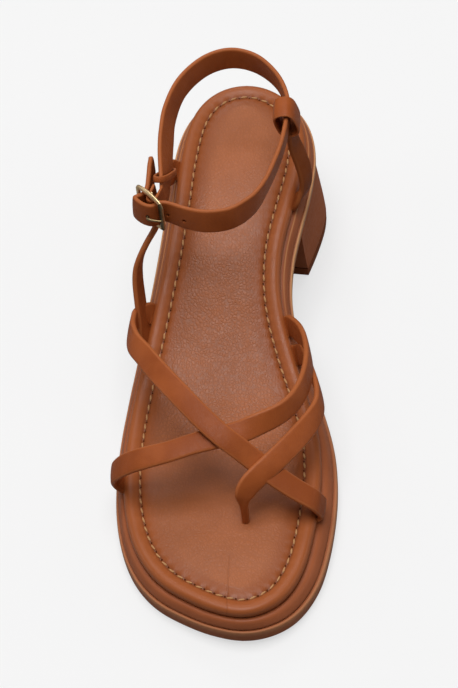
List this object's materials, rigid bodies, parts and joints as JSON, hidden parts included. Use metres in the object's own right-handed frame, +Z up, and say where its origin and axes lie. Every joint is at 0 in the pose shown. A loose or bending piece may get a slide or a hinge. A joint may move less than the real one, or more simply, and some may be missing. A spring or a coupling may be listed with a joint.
{
  "type": "block heel sandal",
  "caption": "Strappy right sandal on a low block heel: crossed forefoot straps with a toe post, padded footbed and a buckled ankle strap.",
  "frame": {"origin": "on the floor, under the middle of the shoe's bounding box", "axes": "+Z up, toe towards -Y, heel towards +Y, medial (big toe) side towards +X"},
  "size_m": [0.0902, 0.249, 0.0999],
  "materials": {
    "strap_leather": "smooth semi-gloss",
    "insole_leather": "pebbled satin",
    "midsole_band": "smooth satin",
    "sole_unit": "satin",
    "top_piece": "matte",
    "buckle_metal": "polished pale gold"
  },
  "bodies": {
    "root": {"outsole": "sole_unit", "midsole": "midsole_band", "insole": "insole_leather", "heel_block": "sole_unit", "heel_top_piece": "top_piece", "upper": "strap_leather", "heel_strap": "strap_leather", "ankle_strap": "strap_leather", "buckle_frame": "buckle_metal", "buckle_prong": "buckle_metal"}
  },
  "joints": []
}
